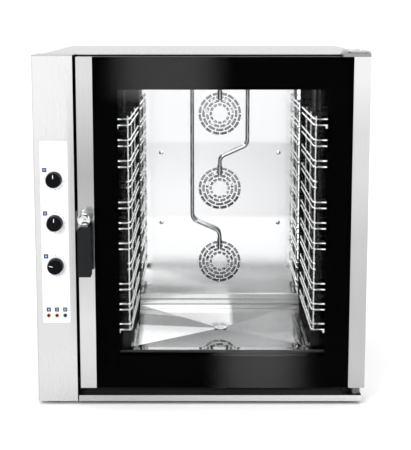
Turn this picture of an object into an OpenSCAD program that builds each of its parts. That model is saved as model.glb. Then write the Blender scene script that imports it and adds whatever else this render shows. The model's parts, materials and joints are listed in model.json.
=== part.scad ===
// Combi steamer oven with a column of controls on the left and a glass door hinged on the right.
// Millimetres. +Z up, the front faces -Y, the origin is on the floor under the middle of the oven.

/* [Casing] */
// overall width
body_width = 920; // [850:5:1000]
// depth from the front plane to the rear panel
body_depth = 800; // [760:5:900]
// height of the casing's top
casing_top = 985; // [960:5:1100]
// height of the feet
foot_height = 10; // [8:1:30]
// thickness of casing sheet
sheet = 1.5; // [1:0.1:2]
// reach of the handle in front of the front plane
handle_reach = 58; // [50:1:70]
// reach of the rear fittings behind the rear panel
rear_reach = 32; // [25:1:60]
// setback of the face that the door closes on
frame_setback = 70; // [68:1:80]
// set-in of the left side panel from the column
left_inset = 12; // [5:1:20]
// set-in of the right side panel from the door's edge
right_inset = 1; // [0:0.5:5]
// underside of the front frame
frame_bottom = 27; // [20:1:40]
// radius of a foot
foot_r = 22; // [15:1:30]
// radius of a foot's stud
stud_r = 5; // [4:0.5:8]
// spacing of the feet from side to side
foot_pitch_x = 800; // [600:10:840]
// spacing of the feet from front to back
foot_pitch_y = 570; // [400:10:600]
// radius of the holes that bolt the oven to its stand
stand_hole_r = 4.5; // [3:0.5:6]
// spacing of those holes from side to side
stand_pitch_x = 660; // [500:10:700]
// spacing of those holes from front to back
stand_pitch_y = 500; // [400:10:520]
// height of the flange round the base pan
pan_flange = 60; // [30:5:80]
// height of the drip gutter's front lip above the floor
gutter_top = 27; // [20:1:35]
// height of the drip gutter's rear wall above the floor
gutter_rear_top = 45; // [35:1:47]

/* [Control column] */
// width of the column
column_width = 111; // [90:1:140]
// depth of the column
column_depth = 125; // [100:5:180]
// width of the white fascia
fascia_width = 75; // [60:1:90]
// underside of the fascia
fascia_bottom = 240; // [150:5:300]
// height of the fascia
fascia_height = 510; // [450:5:560]
// radius of the fascia's corners
fascia_corner = 4; // [1:1:10]
// height of the highest knob's shaft
knob_top_z = 645; // [600:1:700]
// spacing of the knobs
knob_pitch = 121; // [100:1:130]
// radius of a knob
knob_r = 22.5; // [18:0.5:28]
// length of a knob
knob_length = 24; // [18:1:30]
// radius of a knob's shaft
knob_shaft_r = 3; // [2:0.5:5]
// resting turn of the lowest knob
low_knob_turn = 75; // [0:5:180]
// height of the lamps
lamp_z = 261; // [245:1:300]
// spacing of the lamps
lamp_pitch = 23; // [18:1:24]
// side of a lamp's square bezel
bezel_side = 15; // [10:1:18]
// radius of a lamp's lens
lens_r = 4; // [2:0.5:6]

/* [Cavity] */
// sideways offset of the cavity's middle
cavity_x = 58; // [40:1:70]
// width of the cavity
cavity_width = 650; // [600:5:680]
// floor of the cavity
cavity_floor_z = 138; // [120:1:160]
// ceiling of the cavity
cavity_top_z = 905; // [880:5:930]
// depth of the cavity's back wall behind the front plane
cavity_back = 645; // [600:5:660]
// radius of the cavity's rear corners
cavity_corner = 20; // [5:1:40]
// fall of the floor to its drain
floor_fall = 12; // [5:1:20]
// half the width of the falling part of the floor
fall_half_width = 270; // [200:5:300]
// radius of the drain hole
drain_hole_r = 16; // [10:1:25]
// radius of the drain pipe
drain_r = 20; // [15:1:25]
// height of the drain pipe's axis
drain_z = 70; // [50:1:75]
// thickness of the insulation
insulation_wall = 35; // [20:1:37]
// width of the gasket
gasket_width = 14; // [10:1:15]
// radius of the steam vent
vent_r = 25; // [15:1:30]

/* [Racks] */
// number of tray levels
levels = 11; // [5:1:11]
// spacing of the tray levels
level_pitch = 60; // [50:1:70]
// height of the lowest guide wire
lowest_guide_z = 182; // [160:1:200]
// gap between the two wires of a level
guide_pair = 17.4; // [14:0.1:20]
// radius of a guide wire
guide_r = 2.5; // [2:0.1:4]
// radius of a rack's posts
post_r = 3; // [2.5:0.1:5]
// distance of the guide wires from the cavity's middle
guide_x = 263; // [240:1:270]
// distance of the rack's front behind the front plane
rack_front = 120; // [100:1:140]
// length of the rack
rack_length = 380; // [330:5:400]
// radius of the bends in a guide wire
guide_bend = 8; // [5:1:12]

/* [Fans] */
// distance of the baffle behind the front plane
baffle_setback = 560; // [540:1:580]
// width of the baffle
baffle_width = 526; // [480:1:560]
// underside of the baffle
baffle_bottom = 171; // [150:1:180]
// top of the baffle
baffle_top = 890; // [860:5:900]
// height of the lowest fan
low_fan_z = 281; // [270:1:300]
// spacing of the fans
fan_pitch = 246; // [240:1:250]
// radius of a fan wheel
fan_r = 95; // [80:1:100]
// depth of a fan wheel
fan_depth = 52; // [40:1:55]
// number of blades
blades = 16; // [8:1:24]
// radius of a fan's shaft
shaft_r = 6; // [4:0.5:8]
// radius of a motor
motor_r = 50; // [40:1:55]
// length of a motor
motor_length = 85; // [60:1:90]
// radius of a heater's ring
heater_r = 114; // [105:1:116]
// radius of a heater's tube
heater_tube_r = 4; // [3:0.5:5]
// radius of a grille's first ring of slots
slot_first_r = 29.5; // [25:0.5:32]
// spacing of the rings of slots
slot_pitch = 11.9; // [8:0.1:12]
// width of a slot
slot_width = 8.4; // [3:0.1:9]
// width of the bridges between slots
slot_bridge = 4; // [2:0.1:6]
// number of rings of slots
slot_rings = 4; // [3:1:4]

/* [Water pipes] */
// radius of a water pipe
pipe_r = 6; // [4:0.5:8]
// wall of a water pipe
pipe_wall = 1; // [0.5:0.1:2]
// height of the weld beads on a water pipe
pipe_bead = 0.2; // [0.1:0.1:1]
// sideways offset of the outer pipes
pipe_offset = 90; // [60:1:110]
// radius of the pipe's bends
pipe_bend = 26; // [15:1:30]
// angle of the pipe's bends
pipe_angle = 66; // [45:1:80]
// radius of a nozzle
nozzle_r = 7.9; // [7:0.1:10]
// length of a nozzle
nozzle_length = 32; // [20:1:40]
// distance of the pipes in front of the baffle
pipe_standoff = 14; // [10:1:20]
// height of the nozzles' tips above the fans' axes
tip_rise = 44; // [30:1:60]

/* [Door] */
// gap between the column and the door
door_gap = 8; // [6:1:12]
// underside of the door
door_bottom = 49; // [48:1:60]
// top of the door
door_top = 980; // [900:1:981]
// thickness of the door
door_depth = 62; // [50:1:63]
// width of the left steel profile
left_strip = 45; // [35:1:60]
// width of the right steel profile
right_strip = 46; // [44:1:60]
// thickness of the outer glass
outer_glass = 5; // [4:0.5:6]
// thickness of the inner glass
inner_glass = 4; // [3:0.5:6]
// thickness of the black border on the glass
border = 0.4; // [0.2:0.1:1]
// width of the clear window
window_width = 574; // [500:1:590]
// underside of the clear window
window_bottom = 140; // [120:1:160]
// top of the clear window
window_top = 891; // [850:1:900]
// distance of the hinge's axis from the door's right edge
hinge_in = 24; // [15:1:30]
// distance of the hinge's axis behind the front plane
hinge_back = 22; // [15:1:30]
// radius of the hinge pins
hinge_pin_r = 6; // [4:0.5:8]
// top of the upper hinge plate
hinge_top = 995; // [990:0.5:1010]
// thickness of the upper hinge plate
hinge_plate = 3.5; // [3:0.5:6]

/* [Handle] */
// height of the handle's turning axis
handle_z = 543; // [500:1:600]
// radius of the chrome boss
boss_r = 18; // [15:0.5:22]
// width of the grip
grip_width = 36; // [25:1:40]
// thickness of the grip
grip_depth = 28; // [20:1:30]
// top of the grip
grip_top = 522.5; // [500:0.5:525]
// underside of the grip
grip_bottom = 384; // [350:1:420]
// radius of the grip's upper corners
grip_shoulder = 12; // [6:1:16]
// radius of the grip's lower corners
grip_corner = 4; // [2:1:12]

/* [Rear fittings] */
// radius of the water inlet's thread
inlet_r = 13.2; // [10:0.1:15]
// length of the water inlet's thread
inlet_length = 20; // [12:1:25]
// radius of the cable gland's bore
gland_bore_r = 9; // [6:0.5:12]
// radius of the cable gland's thread
gland_r = 15; // [12:0.5:20]
// height of the water inlet and the cable gland
service_z = 130; // [100:5:200]
// distance of the service fittings from the left edge
service_in = 80; // [60:5:120]

/* [Hidden] */
$fn = 64;

eps = 1;
fit = 0.05;
gap = 0.5;
weld = 2;
left = -body_width / 2;
right = body_width / 2;
front = handle_reach - (handle_reach + body_depth + rear_reach) / 2;
rear = front + body_depth;
rear_end = rear + rear_reach;
stub_y = rear + 4;
frame_front = front + frame_setback;
casing_front = frame_front + sheet;
casing_left = left + left_inset;
casing_right = right - right_inset;
column_right = left + column_width;
column_rear = front + column_depth;
column_mid = left + column_width / 2;
pan_z = foot_height + weld;
foot_mid_y = casing_front + (rear - casing_front) / 2;

cavity_left = cavity_x - cavity_width / 2;
cavity_right = cavity_x + cavity_width / 2;
back_wall = front + cavity_back;
back_outer = back_wall + sheet;
baffle_y = front + baffle_setback;
sill_front = baffle_y - 15;
fall_front = casing_front + weld * 10;
fall_mid_y = (fall_front + sill_front - weld) / 2;
fall_half_depth = fall_mid_y - fall_front;
insulation_rear = back_outer + insulation_wall;
insulation_top = cavity_top_z + sheet + insulation_wall;
insulation_bottom = cavity_floor_z - insulation_wall;
fan_zs = [for (i = [0 : 2]) low_fan_z + i * fan_pitch];
fan_back = back_wall - 12;
fan_front = fan_back - fan_depth;
motor_front = insulation_rear + 12;
motor_stud_x = motor_r * 0.8;
pillar_x = 192;
pillar_zs = [412, 645];
pillar_r = 8;
screw_r = 3;

post_x = guide_x + guide_r + post_r + fit;
post_ys = [for (i = [0 : 2]) front + rack_front + guide_bend + weld + i * rack_length * 0.363];
rack_front_y = front + rack_front;
rack_rear_y = rack_front_y + rack_length;
guide_zs = [for (i = [0 : levels - 1], j = [0, 1]) lowest_guide_z + i * level_pitch + j * guide_pair];
short_levels = [3, 7];

pipe_y = baffle_y - pipe_standoff;
pipe_top = insulation_top + 12;
slant = (pipe_offset - 2 * pipe_bend * (1 - cos(pipe_angle))) / sin(pipe_angle);
slant_drop = 2 * pipe_bend * sin(pipe_angle) + slant * cos(pipe_angle);
manifold_r = 9;
manifold_z = pipe_top + manifold_r - 3;
valve_x = 250;
vent_x = cavity_x + 242;
vent_z = cavity_top_z - 45;
heater_gap = [8, 15];
heater_plate = 84;

door_left = column_right + door_gap;
door_right = right;
door_rear = front + door_depth;
glass_left = door_left + left_strip;
glass_right = door_right - right_strip;
glass_rear = front + outer_glass;
border_rear = glass_rear + border;
window_left = cavity_x - window_width / 2;
window_right = cavity_x + window_width / 2;
inner_gap = 9;
inner_low = 7;
inner_front = door_rear - sheet;
bar_height = 32;
hinge_x = door_right - hinge_in;
hinge_y = front + hinge_back;
socket_depth = 25;
leaf_left = hinge_x - 52;
leaf_top = hinge_top - hinge_plate - sheet;
pin_gap = 3;
handle_x = door_left + left_strip / 2;
grip_front = front - handle_reach;
grip_rear = grip_front + grip_depth;
spindle_r = 6;
neck_width = 18;
neck_depth = 14;
neck_low = grip_top - 18;
cam_front = door_rear + 0.5;
cam_depth = 4;

knob_x = column_mid;
knob_zs = [for (i = [0 : 2]) knob_top_z - i * knob_pitch];
fascia_front = front - sheet;
bush_r = 5.5;
bush_hole_r = bush_r + gap;
nut_r = 8;
nut_depth = 3;
knob_clear = 0.8;
knob_rear = fascia_front - knob_clear;
unit_front = front + sheet;
lamp_xs = [for (i = [-1 : 1]) knob_x + gap * 2 + i * lamp_pitch];
lamp_hole_r = lens_r + gap;
plate_x = casing_left + sheet + 8;
service_x = left + service_in;
screw_head_r = 4;
gland_hex_r = 19;

// A plate seen from the front: an outline in x and z, from y to y + depth.
module front_plate(y, depth) {
    translate([0, y + depth, 0]) rotate([90, 0, 0]) linear_extrude(depth) children();
}

// A round bar or hole along +Y.
module rod_y(x, y, z, r, length) {
    translate([x, y, z]) rotate([-90, 0, 0]) cylinder(r = r, h = length);
}

// A round bar or hole along +X.
module rod_x(x, y, z, r, length) {
    translate([x, y, z]) rotate([0, 90, 0]) cylinder(r = r, h = length);
}

// A block between two corners.
module block(low, high) {
    translate(low) cube(high - low);
}

// A rectangle between two corners.
module panel(low, high) {
    translate(low) square(high - low);
}

// A rectangle between two corners, with round corners.
module round_panel(low, high, r) {
    panel([low[0] + r, low[1]], [high[0] - r, high[1]]);
    panel([low[0], low[1] + r], [high[0], high[1] - r]);
    for (x = [low[0] + r, high[0] - r], z = [low[1] + r, high[1] - r])
        translate([x, z]) circle(r);
}

// The casing's outline seen from above, set in on its sides and rear, with room for the column.
module casing_plan(inset) {
    difference() {
        panel([casing_left + inset, casing_front], [casing_right - inset, rear - inset]);
        panel([left, front], [column_right, column_rear]);
    }
}

// The places of the feet, or of the holes for the stand's bolts.
module at_corners(pitch_x, pitch_y) {
    for (x = [-pitch_x / 2, pitch_x / 2], y = [foot_mid_y - pitch_y / 2, foot_mid_y + pitch_y / 2])
        translate([x, y, 0]) children();
}

module base_chassis() {
    bearer = 60;
    color("silver") difference() {
        union() {
            translate([0, 0, foot_height]) linear_extrude(weld) casing_plan(sheet);
            translate([0, 0, foot_height]) linear_extrude(pan_flange) difference() {
                casing_plan(sheet);
                panel([casing_left + sheet + weld, column_rear + weld],
                      [casing_right - sheet - weld, rear - sheet - weld]);
                panel([column_right + weld, casing_front + weld],
                      [casing_right - sheet - weld, column_rear + weld + eps]);
            }
            for (x = [cavity_left + bearer / 2, cavity_right - bearer * 1.5]) difference() {
                block([x, casing_front + bearer, foot_height],
                      [x + bearer, insulation_rear - bearer, insulation_bottom]);
                block([x + weld, casing_front, foot_height - eps],
                      [x + bearer - weld, insulation_rear, insulation_bottom - weld]);
            }
            at_corners(foot_pitch_x, foot_pitch_y)
                translate([0, 0, foot_height]) cylinder(r = stud_r * 2, h = stud_r * 2, $fn = 6);
        }
        at_corners(foot_pitch_x, foot_pitch_y) cylinder(r = stud_r + fit, h = pan_flange);
        at_corners(stand_pitch_x, stand_pitch_y) cylinder(r = stand_hole_r, h = pan_flange);
        rod_y(cavity_x, rear - sheet - weld - eps, drain_z, drain_r + weld, weld + 2 * eps);
    }
}

module feet() {
    color("dimgray") at_corners(foot_pitch_x, foot_pitch_y) {
        cylinder(r1 = foot_r - weld, r2 = foot_r, h = foot_height);
        translate([0, 0, foot_height - eps]) cylinder(r = stud_r, h = stud_r * 2);
    }
}

module drip_gutter() {
    low = [column_right + 3, front, foot_height];
    high = [door_right - 8, frame_front, gutter_rear_top];
    color("gainsboro") difference() {
        block(low, high);
        block(low + [sheet, sheet, sheet], high + [-sheet, -sheet, eps]);
        block([low[0] - eps, front - eps, gutter_top],
              [high[0] + eps, frame_front - sheet, high[2] + eps]);
    }
}

module control_column() {
    low = [left, front, foot_height];
    high = [column_right, column_rear, casing_top];
    vents = 8;
    color("gainsboro") difference() {
        block(low, high);
        block(low + [sheet, sheet, sheet], high + [-sheet, -sheet, -sheet]);
        block([casing_left + sheet, column_rear - 2 * sheet, foot_height + sheet],
              [column_right - sheet, column_rear + eps, casing_top - sheet]);
        for (z = knob_zs) rod_y(knob_x, front - eps, z, bush_hole_r, sheet + 2 * eps);
        for (x = lamp_xs) rod_y(x, front - eps, lamp_z, lamp_hole_r, sheet + 2 * eps);
        for (i = [1 : vents])
            block([left + column_width * 0.2, front + i * column_depth / (vents + 1), foot_height - eps],
                  [column_right - column_width * 0.2,
                   front + i * column_depth / (vents + 1) + slot_width, foot_height + sheet + eps]);
    }
}

module left_side_panel() {
    color("gainsboro") block([casing_left, column_rear, foot_height],
                             [casing_left + sheet, rear, casing_top - sheet]);
}

module right_side_panel() {
    color("gainsboro") block([casing_right - sheet, casing_front, foot_height],
                             [casing_right, rear, casing_top - sheet]);
}

module top_panel() {
    color("gainsboro") translate([0, 0, casing_top - sheet]) linear_extrude(sheet) casing_plan(0);
}

module rear_panel() {
    louvres = 12;
    louvre_length = 160;
    color("gainsboro") front_plate(rear - sheet, sheet) difference() {
        panel([casing_left + sheet, foot_height], [casing_right - sheet, casing_top - sheet]);
        translate([cavity_x, drain_z]) circle(drain_r + weld);
        translate([vent_x, vent_z]) circle(vent_r + weld);
        translate([service_x, service_z]) circle(gland_r + fit);
        translate([valve_x, service_z]) circle(inlet_r + gap);
        for (i = [0 : louvres - 1], x = [cavity_x - pillar_x, cavity_x + pillar_x])
            translate([x, low_fan_z + i * slot_pitch * 2])
                square([louvre_length, slot_width], center = true);
    }
}

module front_frame() {
    lip = 12;
    color("gainsboro") {
        difference() {
            union() {
                front_plate(frame_front, sheet)
                    panel([column_right, frame_bottom], [casing_right, casing_top - sheet]);
                block([column_right, casing_front - gap, frame_bottom + pan_flange],
                      [column_right + sheet, casing_front + lip, casing_top - 2 * sheet]);
                block([casing_right - 2 * sheet, casing_front - gap, frame_bottom + pan_flange],
                      [casing_right - sheet, casing_front + lip, casing_top - 2 * sheet]);
            }
            front_plate(frame_front - eps, sheet + 2 * eps)
                panel([cavity_left, cavity_floor_z], [cavity_right, cavity_top_z]);
        }
    }
}

// The cavity's walls seen from above, grown outwards.
module cavity_plan(grow) {
    r = cavity_corner + grow;
    panel([cavity_left - grow, casing_front], [cavity_right + grow, back_wall - cavity_corner]);
    panel([cavity_left + cavity_corner, casing_front], [cavity_right - cavity_corner, back_wall + grow]);
    for (x = [cavity_left + cavity_corner, cavity_right - cavity_corner])
        translate([x, back_wall - cavity_corner]) circle(r);
}

module wall_holes(r) {
    for (z = fan_zs) {
        rod_y(cavity_x, back_wall - eps, z, shaft_r + weld, insulation_wall + 2 * weld);
        for (side = [-1, 1], turn = heater_gap)
            translate([cavity_x, 0, z]) rotate([0, side * turn, 0])
                rod_y(heater_r, back_wall - eps, 0, heater_tube_r + r, insulation_wall + 2 * weld);
    }
    rod_y(vent_x, back_wall - eps, vent_z, vent_r + r - sheet, insulation_wall + 2 * weld);
}

module cavity_shell() {
    color("whitesmoke") difference() {
        translate([0, 0, cavity_floor_z]) linear_extrude(cavity_top_z + sheet - cavity_floor_z)
            cavity_plan(sheet);
        translate([0, -eps, cavity_floor_z - eps]) linear_extrude(cavity_top_z - cavity_floor_z + eps)
            cavity_plan(0);
        translate([0, 0, cavity_floor_z - eps]) linear_extrude(cavity_top_z - cavity_floor_z + eps)
            cavity_plan(0);
        wall_holes(gap);
        for (x = [-pipe_offset, 0, pipe_offset])
            translate([cavity_x + x, pipe_y, cavity_top_z - eps])
                cylinder(r = pipe_r + fit, h = 2 * weld);
    }
}

// A pyramid standing on its tip, cut off a little above the height of its rim.
module fall(tip_z, over) {
    k = (floor_fall + over) / floor_fall;
    a = fall_half_width * k;
    b = fall_half_depth * k;
    translate([cavity_x, fall_mid_y, tip_z])
        polyhedron([[0, 0, 0], [-a, -b, floor_fall + over], [a, -b, floor_fall + over],
                    [a, b, floor_fall + over], [-a, b, floor_fall + over]],
                   [[0, 1, 2], [0, 2, 3], [0, 3, 4], [0, 4, 1], [4, 3, 2, 1]]);
}

// Two thin steps that close the gap between the floor and the baffle.
module sill() {
    tread = 8;
    rise = (baffle_bottom - gap - cavity_floor_z) / 2;
    low = [cavity_x - baffle_width / 2, sill_front, cavity_floor_z];
    high = [cavity_x + baffle_width / 2, baffle_y + tread, cavity_floor_z];
    difference() {
        for (i = [0, 1]) block(low + [0, i * tread, -gap], high + [0, 0, (i + 1) * rise]);
        for (i = [0, 1])
            block(low + [-eps, sheet + i * tread, 0], high + [eps, eps, (i + 1) * rise - sheet]);
    }
}

module cavity_floor() {
    spigot = 8;
    color("whitesmoke") sill();
    color("whitesmoke") difference() {
        union() {
            translate([0, 0, cavity_floor_z - sheet]) linear_extrude(sheet) cavity_plan(0);
            fall(cavity_floor_z - floor_fall - sheet, sheet / 2);
            translate([cavity_x, fall_mid_y, cavity_floor_z - floor_fall - spigot])
                cylinder(r = drain_r, h = spigot - sheet / 2);
        }
        fall(cavity_floor_z - floor_fall, sheet);
        translate([cavity_x, fall_mid_y, cavity_floor_z - 3 * floor_fall])
            cylinder(r = drain_hole_r, h = 4 * floor_fall);
    }
}

module drain_strainer() {
    top = cavity_floor_z - floor_fall + weld;
    holes = 8;
    color("silver") translate([cavity_x, fall_mid_y, top]) difference() {
        union() {
            translate([0, 0, -floor_fall]) cylinder(r = drain_hole_r - fit, h = floor_fall);
            cylinder(r = drain_hole_r + 3, h = 1);
        }
        translate([0, 0, -floor_fall - eps]) cylinder(r = drain_hole_r - weld, h = floor_fall);
        for (k = [1 : holes]) rotate(k * 360 / holes)
            translate([drain_hole_r / 2, 0, -2 * weld]) cylinder(r = weld, h = 4 * weld);
    }
}

// The drain's way out: down, round a bend and back to the rear.
module drain_way(r, over) {
    bend = drain_r * 2;
    top = cavity_floor_z - floor_fall - 8;
    translate([cavity_x, fall_mid_y, drain_z + bend]) cylinder(r = r, h = top - drain_z - bend + over);
    translate([cavity_x, fall_mid_y + bend, drain_z + bend]) rotate([90, 0, 90]) rotate([0, 0, 180])
        rotate_extrude(angle = 90) translate([bend, 0]) circle(r);
    rod_y(cavity_x, fall_mid_y + bend, drain_z, r, rear_end - fall_mid_y - bend + over);
}

module drain_pipe() {
    color("silver") difference() {
        union() {
            drain_way(drain_r, 0);
            rod_y(cavity_x, stub_y, drain_z, drain_r + eps, rear_end - stub_y);
        }
        drain_way(drain_r - sheet, eps);
    }
}

module insulation() {
    color("khaki") difference() {
        block([cavity_left - sheet - insulation_wall, casing_front, insulation_bottom],
              [cavity_right + sheet + insulation_wall, insulation_rear, insulation_top]);
        translate([0, 0, cavity_floor_z - floor_fall - weld])
            linear_extrude(cavity_top_z + sheet + gap - cavity_floor_z + floor_fall + weld)
                cavity_plan(sheet + gap);
        translate([0, -weld, cavity_floor_z - floor_fall - weld])
            linear_extrude(cavity_top_z + sheet + gap - cavity_floor_z + floor_fall + weld)
                cavity_plan(sheet + gap);
        wall_holes(weld);
        for (x = [-pipe_offset, 0, pipe_offset])
            translate([cavity_x + x, pipe_y, cavity_top_z]) cylinder(r = pipe_r + weld, h = pipe_top);
        translate([cavity_x, fall_mid_y, insulation_bottom - eps])
            cylinder(r = drain_r + weld, h = insulation_wall);
        for (z = fan_zs, side_x = [-1, 1], side_z = [-1, 1])
            rod_y(cavity_x + side_x * motor_stud_x, back_wall, z + side_z * motor_stud_x,
                  pipe_r + weld, insulation_wall + 2 * weld);
    }
}

// A rectangular ring in x and z round the mouth of the cavity.
module mouth_ring(inner, outer) {
    difference() {
        round_panel([cavity_left - outer, cavity_floor_z - outer],
                    [cavity_right + outer, cavity_top_z + outer], outer);
        panel([cavity_left - inner, cavity_floor_z - inner],
              [cavity_right + inner, cavity_top_z + inner]);
    }
}

module door_gasket() {
    lip = 3;
    color("dimgray") {
        front_plate(frame_front - lip, lip) mouth_ring(weld, weld + gasket_width);
        front_plate(door_rear + 0.3, frame_front - lip - door_rear - 0.3)
            mouth_ring(weld + lip, weld + gasket_width - lip);
    }
}

module rack_posts() {
    color("silver") for (side = [-1, 1], y = post_ys)
        translate([cavity_x + side * post_x, y, lowest_guide_z - weld])
            cylinder(r = post_r, h = (levels - 1) * level_pitch + guide_pair + 5 * weld);
}

// One guide wire: a straight run with a bend at each end that returns to the cavity's wall.
module guide_wire(z, side, front_reach) {
    reach = cavity_width / 2 - guide_x - guide_bend;
    translate([cavity_x, 0, z]) scale([side, 1, 1]) {
        rod_y(guide_x, rack_front_y + guide_bend, 0, guide_r, rack_length - 2 * guide_bend);
        translate([guide_x + guide_bend, rack_front_y + guide_bend, 0]) rotate(180)
            rotate_extrude(angle = 90) translate([guide_bend, 0]) circle(guide_r);
        translate([guide_x + guide_bend, rack_rear_y - guide_bend, 0]) rotate(90)
            rotate_extrude(angle = 90) translate([guide_bend, 0]) circle(guide_r);
        rod_x(guide_x + guide_bend, rack_front_y, 0, guide_r, front_reach);
        rod_x(guide_x + guide_bend, rack_rear_y, 0, guide_r, reach);
    }
}

module guide_wires(side) {
    full = cavity_width / 2 - guide_x - guide_bend;
    for (i = [0 : len(guide_zs) - 1])
        guide_wire(guide_zs[i], side, search(floor(i / 2), short_levels) ? weld : full);
}

module left_rack_guides() {
    color("silver") guide_wires(-1);
}

module right_rack_guides() {
    color("silver") guide_wires(1);
}

module rack_studs() {
    studs = [guide_zs[0], guide_zs[len(guide_zs) - 2]];
    length = 30;
    color("silver") for (side = [-1, 1], z = studs, y = [rack_front_y, rack_rear_y])
        rod_x(cavity_x + side * (cavity_width / 2 - length / 2) - length / 2, y,
              z - guide_r - 2 * weld, 2 * weld, length);
}

// Rings of arc-shaped slots round a blank middle.
module grille() {
    for (i = [0 : slot_rings - 1]) {
        r = slot_first_r + i * slot_pitch;
        slots = i < 3 ? 12 : 16;
        difference() {
            circle(r + slot_width / 2);
            circle(r - slot_width / 2);
            for (k = [1 : slots / 2]) rotate((k + (i + 1) / 2) * 360 / slots)
                square([2 * r + 2 * slot_width, slot_bridge], center = true);
        }
    }
}

module fan_baffle() {
    lip = 20;
    low = [cavity_x - baffle_width / 2, baffle_bottom];
    high = [cavity_x + baffle_width / 2, baffle_top];
    vent_zs = [201, 407, 604, 810];
    color("whitesmoke") {
        front_plate(baffle_y, sheet) difference() {
            panel(low, high);
            for (z = fan_zs) translate([cavity_x, z]) grille();
            for (x = [-pillar_x, pillar_x], z = pillar_zs)
                translate([cavity_x + x, z]) circle(screw_r + fit);
            for (x = [-1, 1], z = vent_zs)
                translate([cavity_x + x * (baffle_width / 2 - lip), z]) circle(weld);
        }
        front_plate(baffle_y + sheet - fit, lip) difference() {
            panel(low, high);
            panel(low + [sheet, sheet], high - [sheet, sheet]);
        }
    }
}

module baffle_pillars() {
    color("silver") for (x = [-pillar_x, pillar_x], z = pillar_zs) difference() {
        rod_y(cavity_x + x, baffle_y + sheet, z, pillar_r, back_wall - baffle_y - sheet);
        rod_y(cavity_x + x, baffle_y, z, screw_r + fit, 6 * pillar_r);
    }
}

module baffle_screws() {
    head = 7;
    dome = 3;
    r = (head * head + dome * dome) / (2 * dome);
    color("silver") for (x = [-pillar_x, pillar_x], z = pillar_zs) {
        intersection() {
            translate([cavity_x + x, baffle_y - dome + r, z]) sphere(r);
            rod_y(cavity_x + x, baffle_y - dome - eps, z, head, dome + eps);
        }
        rod_y(cavity_x + x, baffle_y - gap, z, screw_r, 5 * pillar_r);
    }
}

// A nozzle that hangs at the end of a pipe, with a round tip.
module nozzle(tip_z) {
    translate([cavity_x, pipe_y, tip_z + nozzle_r]) sphere(nozzle_r);
    translate([cavity_x, pipe_y, tip_z + nozzle_r]) cylinder(r = nozzle_r, h = nozzle_length - nozzle_r);
}

// A pipe from the ceiling on one side that bends twice and ends over a fan, with x across and y up.
module bent_way(end_z) {
    bend_z = end_z + slant_drop;
    c = pipe_bend * cos(pipe_angle);
    s = pipe_bend * sin(pipe_angle);
    translate([-pipe_offset, bend_z]) rotate([-90, 0, 0]) difference() {
        cylinder(r = pipe_r, h = pipe_top - bend_z);
        translate([0, 0, eps]) cylinder(r = pipe_r - pipe_wall, h = pipe_top - bend_z);
    }
    translate([-pipe_offset + pipe_bend, bend_z]) rotate(180)
        rotate_extrude(angle = pipe_angle) translate([pipe_bend, 0]) circle(pipe_r);
    translate([-pipe_offset + pipe_bend - c, bend_z - s]) rotate(pipe_angle - 180) {
        rotate([-90, 0, 0]) cylinder(r = pipe_r, h = slant);
        for (y = [0, slant]) translate([0, y]) sphere(pipe_r + pipe_bead);
    }
    translate([-pipe_bend, end_z])
        rotate_extrude(angle = pipe_angle) translate([pipe_bend, 0]) circle(pipe_r);
}

// A bent pipe and its nozzle, coming from the left (side 1) or the right (side -1).
module bent_pipe(side, tip_z) {
    end_z = tip_z + nozzle_length + 2 * pipe_r;
    color("silver") {
        translate([cavity_x, pipe_y, 0]) scale([side, 1, 1]) rotate([90, 0, 0]) bent_way(end_z);
        translate([cavity_x, pipe_y, tip_z + nozzle_length - eps])
            cylinder(r = pipe_r, h = 2 * pipe_r + eps);
        nozzle(tip_z);
    }
}

module upper_water_pipe() {
    tip_z = fan_zs[2] + tip_rise;
    color("silver") {
        nozzle(tip_z);
        difference() {
            translate([cavity_x, pipe_y, tip_z + nozzle_length - eps])
                cylinder(r = pipe_r, h = pipe_top - tip_z - nozzle_length + eps);
            translate([cavity_x, pipe_y, tip_z + nozzle_length + eps])
                cylinder(r = pipe_r - pipe_wall, h = pipe_top);
        }
    }
}

module middle_water_pipe() {
    bent_pipe(-1, fan_zs[1] + tip_rise);
}

module lower_water_pipe() {
    bent_pipe(1, fan_zs[0] + tip_rise);
}

module water_manifold() {
    end_y = rear - sheet - 4 * manifold_r;
    side_x = valve_x - cavity_x;
    color("silver") difference() {
        union() {
            rod_x(cavity_x - pipe_offset - manifold_r * 2, pipe_y, manifold_z, manifold_r,
                  side_x + pipe_offset + manifold_r * 2);
            translate([valve_x, pipe_y, manifold_z]) sphere(manifold_r);
            rod_y(valve_x, pipe_y, manifold_z, manifold_r, end_y - pipe_y);
            translate([valve_x, end_y, manifold_z]) sphere(manifold_r);
            translate([valve_x, end_y, service_z + 4 * manifold_r])
                cylinder(r = manifold_r, h = manifold_z - service_z - 4 * manifold_r);
        }
        for (x = [-pipe_offset, 0, pipe_offset])
            translate([cavity_x + x, pipe_y, 0]) cylinder(r = pipe_r + fit, h = pipe_top);
    }
}

module water_valve() {
    body = 60;
    end_y = rear - sheet - 4 * manifold_r;
    color("white") {
        block([valve_x - body / 2, end_y - body / 2, service_z - body / 3],
              [valve_x + body / 2, rear - sheet, service_z + 4 * manifold_r]);
        difference() {
            union() {
                rod_y(valve_x, rear - sheet - eps, service_z, inlet_r * 0.94, rear_reach / 2);
                rod_y(valve_x, stub_y, service_z, inlet_r, inlet_length);
            }
            rod_y(valve_x, rear, service_z, inlet_r * 0.7, rear_reach);
        }
    }
}

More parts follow.
